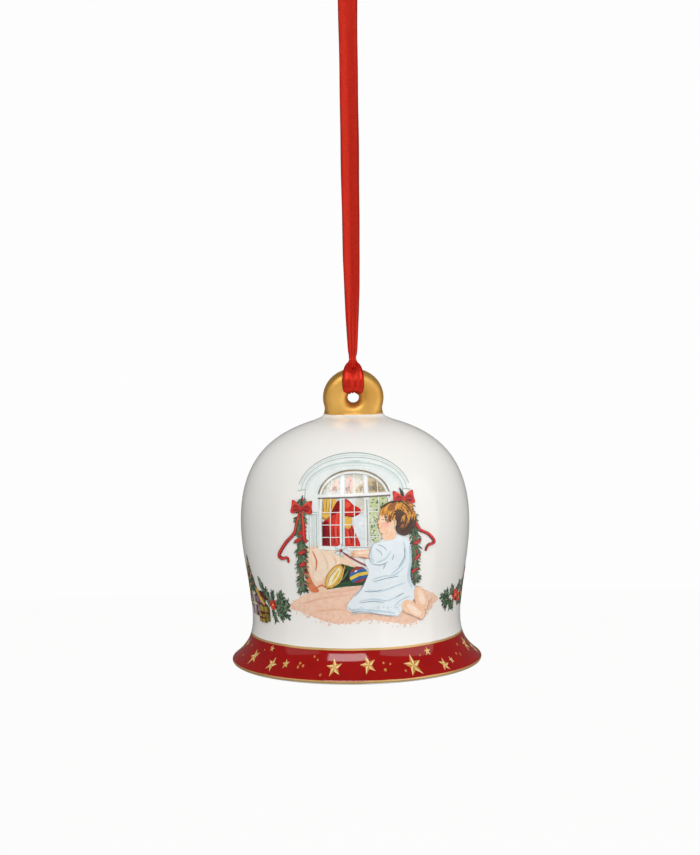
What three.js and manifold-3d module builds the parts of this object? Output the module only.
// A porcelain bell ornament on a satin ribbon loop, in millimetres, +Z up.
// The origin is the hang point: the inside top of the ribbon loop, where a hook or a twig bears.
import * as THREE from 'three';
import { mergeVertices } from 'three/addons/utils/BufferGeometryUtils.js';
import Module from 'manifold-3d';

const wasm = await Module();
wasm.setup();

// ---------------------------------------------------------------- driving dimensions

const loopDrop = 126;           // hang point down to the centre of the crown's eye
const touchGap = 0.3;           // left between pieces that touch
const runGap = 0.4;             // left between the ribbon hitch and the crown it rocks on
const wireGap = 0.3;            // left between two linked wires

const bell = {
  height: 67.2,                 // foot up to the flat pad that carries the crown
  rimRadius: 34.2,              // widest point of the flared lip
  rimRise: 0.95,                // height of that point
  footRadius: 33,               // outer edge of the flat foot
  footWidth: 2.7,               // width of the flat foot ring
  flareRadius: 33.6,            // start of the flare above the lip
  flareRise: 1.7,
  waistRadius: 28.45,           // narrowest point, above the flare
  waistHeight: 12.5,
  bellyRadius: 31.22,           // widest point of the dome
  bellyHeight: 38.5,
  capRadius: 11,                // where the dome meets the fillet under the crown
  capDrop: 1.2,                 // from the pad down to that point
  padRadius: 8.9,
  wall: 2.8,
  sides: 48,
};

const crown = {
  outerRadius: 7.9,             // eye centre to the top of the ring
  eyeRadius: 1.8,
  depth: 8.8,                   // front to back through the fat of the ring
  sideStretch: 1.06,            // the ring is a little wider than it is high
  eyeHeight: 4.8,               // pad up to the centre of the eye
  footHalfWidth: 8.2,
  footHalfDepth: 5,
  footHeight: 2.7,
  footTaper: 0.88,
};

const ribbon = {
  width: 6,
  thickness: 0.5,
  hitchThickness: 0.8,
  neckHeight: 3,                // where the bight crosses the two strands, above the crown
  strandGap: 0.4,               // hitch to the lower end of the strands
  swingGap: 1.5,                // knot to the upper end of the strands, room to swing
  knotHalfSize: new THREE.Vector3(4.3, 3.2, 3.3),
  tailThickness: 0.8,
};

const clapper = {
  cementRadius: 4.6,
  cementDrop: 2.4,
  stapleWire: 1,
  stapleSpan: 4.4,              // between the centres of the two legs
  stapleDrop: 4.2,              // cement down to the centre of the wire at the bottom of the staple
  stapleBury: 1.5,
  linkWire: 0.8,
  linkRadius: 3,
  stemWire: 0.8,
  stemEyeRadius: 1.6,
  beadRadius: 6,
  beadHeight: 16,               // bell's foot up to the bead's centre
  headRadius: 1.2,
  headHeight: 0.7,
};

// ---------------------------------------------------------------- levels worked out from them

const eyeLevel = -loopDrop;
const padLevel = eyeLevel - crown.eyeHeight;
const footLevel = padLevel - bell.height;

// ---------------------------------------------------------------- helpers

function toSolid(geometry) {
  const plain = geometry.clone();
  plain.deleteAttribute('normal');
  plain.deleteAttribute('uv');
  const merged = mergeVertices(plain, 1e-4);
  const mesh = new wasm.Mesh({
    numProp: 3,
    vertProperties: new Float32Array(merged.attributes.position.array),
    triVerts: new Uint32Array(merged.index.array),
  });
  return new wasm.Manifold(mesh);
}

function toGeometry(solid) {
  const mesh = solid.getMesh();
  const geometry = new THREE.BufferGeometry();
  geometry.setAttribute('position', new THREE.BufferAttribute(mesh.vertProperties, 3));
  geometry.setIndex(new THREE.BufferAttribute(mesh.triVerts, 1));
  return geometry;
}

// Turns an upright profile, x out from the axis and y up, round the Z axis.
function latheUp(points, sides) {
  return new THREE.LatheGeometry(points, sides).rotateX(Math.PI / 2);
}

function vec(x, y) {
  return new THREE.Vector2(x, y);
}

function piece(name, geometry, material) {
  const mesh = new THREE.Mesh(geometry, material);
  mesh.name = name;
  return mesh;
}

// ---------------------------------------------------------------- materials

const porcelain = new THREE.MeshStandardMaterial({ color: '#efece6', roughness: 0.12 });
const gold = new THREE.MeshStandardMaterial({ color: '#d9a441', roughness: 0.32, metalness: 1 });
const cementWhite = new THREE.MeshStandardMaterial({ color: '#cfc9bc', roughness: 0.9 });
const brass = new THREE.MeshStandardMaterial({ color: '#c9a24c', roughness: 0.3, metalness: 1 });
const satin = new THREE.MeshStandardMaterial({ color: '#c8201f', roughness: 0.45 });

// ---------------------------------------------------------------- bell shell

// The outside of the wall, from the start of the flare up to the fillet under the crown.
function wallCurves() {
  const capHeight = bell.height - bell.capDrop;
  const domeRise = capHeight - bell.bellyHeight;
  const domeSpan = bell.bellyRadius - bell.capRadius;
  const waistRise = bell.bellyHeight - bell.waistHeight;
  const flareRun = bell.flareRadius - bell.waistRadius;
  const flareRise = bell.waistHeight - bell.flareRise;
  const flare = new THREE.CubicBezierCurve(
    vec(bell.flareRadius, bell.flareRise),
    vec(bell.flareRadius - flareRun * 0.72, bell.flareRise + flareRise * 0.27),
    vec(bell.waistRadius, bell.waistHeight - flareRise * 0.46),
    vec(bell.waistRadius, bell.waistHeight),
  );
  const waist = new THREE.CubicBezierCurve(
    vec(bell.waistRadius, bell.waistHeight),
    vec(bell.waistRadius, bell.waistHeight + waistRise * 0.3),
    vec(bell.bellyRadius, bell.bellyHeight - waistRise * 0.35),
    vec(bell.bellyRadius, bell.bellyHeight),
  );
  const dome = new THREE.CubicBezierCurve(
    vec(bell.bellyRadius, bell.bellyHeight),
    vec(bell.bellyRadius, bell.bellyHeight + domeRise * 0.64),
    vec(bell.capRadius + domeSpan * 0.55, bell.bellyHeight + domeRise * 0.88),
    vec(bell.capRadius, capHeight),
  );
  return [[flare, 5], [waist, 5], [dome, 9]];
}

function bellShell() {
  const outside = [];
  const inside = [];
  for (const [curve, steps] of wallCurves()) {
    for (let i = outside.length ? 1 : 0; i <= steps; i += 1) {
      const point = curve.getPoint(i / steps);
      const along = curve.getTangent(i / steps);
      outside.push(point);
      inside.push(vec(point.x - along.y * bell.wall, point.y + along.x * bell.wall));
    }
  }
  const lip = new THREE.Path();
  lip.moveTo(bell.footRadius, 0);
  lip.quadraticCurveTo(bell.rimRadius, 0, bell.rimRadius, bell.rimRise);
  lip.quadraticCurveTo(bell.rimRadius, bell.rimRise + 0.4, bell.flareRadius, bell.flareRise);
  const fillet = new THREE.QuadraticBezierCurve(
    vec(bell.capRadius, bell.height - bell.capDrop),
    vec(bell.padRadius + 0.3, bell.height - bell.capDrop * 0.5),
    vec(bell.padRadius, bell.height),
  );
  // Below this level the wall ends in the foot ring.
  const footInner = bell.footRadius - bell.footWidth;
  const insideWall = inside.filter((point) => point.y > 0.4 && point.x < footInner + 0.6);
  const ceiling = insideWall[insideWall.length - 1].y;
  const profile = [
    ...lip.getPoints(3).slice(0, -1),
    ...outside,
    ...fillet.getPoints(3).slice(1),
    vec(0, bell.height),
    vec(0, ceiling),
    ...insideWall.reverse(),
    vec(footInner, 0),
    vec(bell.footRadius, 0),
  ];
  const shell = latheUp(profile, bell.sides);
  return { geometry: shell.translate(0, 0, footLevel), ceiling: footLevel + ceiling };
}

// ---------------------------------------------------------------- crown

// A fat ring round the eye, on a short oval foot; both stop flat just above the bell's pad.
function crownLoop() {
  const tubeHalf = (crown.outerRadius - crown.eyeRadius) / 2;
  const tubeCentre = (crown.outerRadius + crown.eyeRadius) / 2;
  const section = new THREE.EllipseCurve(tubeCentre, 0, tubeHalf, crown.depth / 2, 0, 2 * Math.PI);
  const ring = new THREE.LatheGeometry(section.getPoints(16), 28).scale(crown.sideStretch, 1, 1);
  ring.translate(0, 0, eyeLevel);

  const seat = padLevel + touchGap;
  const footTop = crown.footTaper;
  const foot = latheUp([
    vec(0, -1),
    vec(1, -1),
    vec(1, 0),
    vec((1 + footTop) / 2, crown.footHeight * 0.35),
    vec(footTop, crown.footHeight),
    vec(0, crown.footHeight),
  ], 28);
  foot.scale(crown.footHalfWidth, crown.footHalfDepth, 1).translate(0, 0, seat);

  const below = new THREE.BoxGeometry(60, 60, 30).translate(0, 0, seat - 15);
  return toGeometry(toSolid(ring).add(toSolid(foot)).subtract(toSolid(below)));
}

// ---------------------------------------------------------------- ribbon

// The lark's-head hitch round the top of the crown's ring: it narrows where it bunches in the eye,
// and a neck stands above it where the bight crosses the strands.
function ribbonHitch() {
  const half = ribbon.hitchThickness / 2;
  const top = crown.outerRadius + runGap + half;
  const bottom = crown.eyeRadius - runGap - half;
  const reach = crown.depth / 2 + runGap + half;
  const loop = new THREE.TorusGeometry(1, half / reach, 8, 32).rotateY(Math.PI / 2);
  loop.scale(1, reach, (top - bottom) / 2).translate(0, 0, (top + bottom) / 2);
  const place = loop.attributes.position;
  const tubeHalf = half / reach;
  for (let i = 0; i < place.count; i += 1) {
    const rise = Math.max(0, place.getZ(i) - bottom);
    const halfWidth = Math.min(ribbon.width / 2, 0.7 + 0.7 * rise);
    place.setX(i, (place.getX(i) / tubeHalf) * halfWidth);
  }
  const neck = new THREE.SphereGeometry(1, 16, 10).rotateX(Math.PI / 2);
  neck.scale(ribbon.width * 0.42, 1.8, ribbon.neckHeight / 2);
  neck.translate(0, 0, top + ribbon.neckHeight / 2 - half);
  const hitch = toGeometry(toSolid(loop).add(toSolid(neck)));
  return { geometry: hitch.translate(0, 0, eyeLevel), top: eyeLevel + top + ribbon.neckHeight - half };
}

// A flat length of ribbon along a route that stays in an upright plane.
function flatBand(points, thickness, steps) {
  const section = new THREE.Shape([
    vec(-ribbon.width / 2, -thickness / 2),
    vec(ribbon.width / 2, -thickness / 2),
    vec(ribbon.width / 2, thickness / 2),
    vec(-ribbon.width / 2, thickness / 2),
  ]);
  return new THREE.ExtrudeGeometry(section, { steps, extrudePath: new THREE.CatmullRomCurve3(points) });
}

// Half the distance between the strands, front to back, from the hitch up to the knot.
const strandRoute = [
  [0, 0.5], [0.07, 0.55], [0.14, 0.62], [0.21, 0.72], [0.28, 0.84],
  [0.35, 0.97], [0.42, 1.1], [0.5, 1.26], [0.57, 1.4], [0.64, 1.55],
  [0.71, 1.7], [0.78, 1.86], [0.85, 2.02], [0.92, 2.2], [1, 2.4],
];

function ribbonStrand(side, bottom) {
  const rise = -ribbon.swingGap - bottom;
  const points = strandRoute.map(([t, y]) => new THREE.Vector3(0, side * y, bottom + rise * t));
  return flatBand(points, ribbon.thickness, 12);
}

function ribbonKnot() {
  const half = ribbon.knotHalfSize;
  const knot = new THREE.SphereGeometry(1, 20, 12).rotateX(Math.PI / 2);
  return knot.scale(half.x, half.y, half.z).translate(0, 0, half.z);
}

// A short tail out of the side of the knot, arching over and down.
function ribbonTail(side) {
  const start = ribbon.knotHalfSize.x + touchGap;
  const level = ribbon.knotHalfSize.z;
  const points = [[0.1, 0], [1.6, 0.9], [3.2, 1.1], [4.8, 0.5], [6.2, -1], [7.2, -3], [7.8, -5.4], [8.1, -8]]
    .map(([x, z]) => new THREE.Vector3(side * (start + x), 0, level + z));
  return flatBand(points, ribbon.tailThickness, 10);
}

// ---------------------------------------------------------------- clapper

// The two places of the staple's legs.
const legs = [-clapper.stapleSpan / 2, clapper.stapleSpan / 2];

// A drop of cement under the bell's ceiling that holds the two legs of the staple.
function clapperCement(ceiling) {
  const top = ceiling - touchGap;
  const drop = new THREE.EllipseCurve(0, 0, clapper.cementRadius, clapper.cementDrop, -Math.PI / 2, 0);
  const profile = [...drop.getPoints(6), vec(0, 0)];
  const dome = latheUp(profile, 24).translate(0, 0, top);
  const holeRadius = clapper.stapleWire / 2 + wireGap;
  const holeTop = top - clapper.cementDrop + clapper.stapleBury + touchGap;
  let cement = toSolid(dome);
  for (const x of legs) {
    const hole = new THREE.CylinderGeometry(holeRadius, holeRadius, 8, 12).rotateX(Math.PI / 2);
    cement = cement.subtract(toSolid(hole.translate(x, 0, holeTop - 4)));
  }
  return toGeometry(cement);
}

function clapperStaple(cementBottom) {
  const radius = clapper.stapleSpan / 2;
  const wire = new THREE.Shape();
  wire.absarc(0, 0, clapper.stapleWire / 2, 0, 2 * Math.PI);
  const bendCentre = cementBottom - clapper.stapleDrop + radius;
  const path = new THREE.CurvePath();
  const legTop = cementBottom + clapper.stapleBury;
  const at = (x, z) => new THREE.Vector3(x, 0, z);
  path.add(new THREE.LineCurve3(at(-radius, legTop), at(-radius, bendCentre)));
  const bend = [];
  for (let i = 0; i <= 8; i += 1) {
    const angle = Math.PI + (Math.PI * i) / 8;
    bend.push(at(radius * Math.cos(angle), bendCentre + radius * Math.sin(angle)));
  }
  path.add(new THREE.CatmullRomCurve3(bend));
  path.add(new THREE.LineCurve3(at(radius, bendCentre), at(radius, legTop)));
  return new THREE.ExtrudeGeometry(wire, { steps: 26, curveSegments: 4, extrudePath: path });
}

function wireRing(radius, wire) {
  return new THREE.TorusGeometry(radius, wire / 2, 8, 22);
}

// The link stands across the staple and hangs on its lowest point.
function clapperLink(staplePin) {
  const centre = staplePin + clapper.stapleWire / 2 + wireGap - (clapper.linkRadius - clapper.linkWire / 2);
  const ring = wireRing(clapper.linkRadius, clapper.linkWire).rotateY(Math.PI / 2);
  return { geometry: ring.translate(0, 0, centre), pin: centre - clapper.linkRadius };
}

// An eye that hangs on the link, a straight wire through the bead and a round head under it.
function clapperStem(linkPin) {
  const innerRadius = clapper.stemEyeRadius - clapper.stemWire / 2;
  const eyeCentre = linkPin + clapper.linkWire / 2 + wireGap - innerRadius;
  const eye = wireRing(clapper.stemEyeRadius, clapper.stemWire).rotateX(Math.PI / 2);
  eye.translate(0, 0, eyeCentre);
  const beadBottom = footLevel + clapper.beadHeight - clapper.beadRadius;
  const headTop = beadBottom - touchGap;
  const wire = clapper.stemWire / 2;
  const wireTop = eyeCentre - clapper.stemEyeRadius;
  const rod = latheUp([
    vec(0, headTop - clapper.headHeight),
    vec(clapper.headRadius * 0.7, headTop - clapper.headHeight),
    vec(clapper.headRadius, headTop - clapper.headHeight * 0.4),
    vec(clapper.headRadius, headTop),
    vec(wire, headTop),
    vec(wire, wireTop),
    vec(0, wireTop),
  ], 12);
  return toGeometry(toSolid(eye).add(toSolid(rod)));
}

function clapperBead() {
  const bore = clapper.stemWire / 2 + touchGap;
  const boreHalf = Math.sqrt(clapper.beadRadius ** 2 - bore ** 2);
  const start = Math.asin(boreHalf / clapper.beadRadius);
  const outside = new THREE.EllipseCurve(0, 0, clapper.beadRadius, clapper.beadRadius, -start, start);
  const profile = outside.getPoints(9);
  const bead = latheUp([...profile, profile[0].clone()], 20);
  return bead.translate(0, 0, footLevel + clapper.beadHeight);
}

// ---------------------------------------------------------------- the ornament

const ornament = new THREE.Group();
const shell = bellShell();
const hitch = ribbonHitch();
const strandBottom = hitch.top + ribbon.strandGap;
const cementBottom = shell.ceiling - touchGap - clapper.cementDrop;
const staplePin = cementBottom - clapper.stapleDrop;
const link = clapperLink(staplePin);

ornament.add(
  piece('ribbon_knot', ribbonKnot(), satin),
  piece('ribbon_tail_left', ribbonTail(-1), satin),
  piece('ribbon_tail_right', ribbonTail(1), satin),
  piece('ribbon_strand_front', ribbonStrand(-1, strandBottom), satin),
  piece('ribbon_strand_back', ribbonStrand(1, strandBottom), satin),
  piece('ribbon_hitch', hitch.geometry, satin),
  piece('crown_loop', crownLoop(), gold),
  piece('bell_shell', shell.geometry, porcelain),
  piece('clapper_cement', clapperCement(shell.ceiling), cementWhite),
  piece('clapper_staple', clapperStaple(cementBottom), brass),
  piece('clapper_link', link.geometry, brass),
  piece('clapper_stem', clapperStem(link.pin), brass),
  piece('clapper_bead', clapperBead(), porcelain),
);

export default ornament;
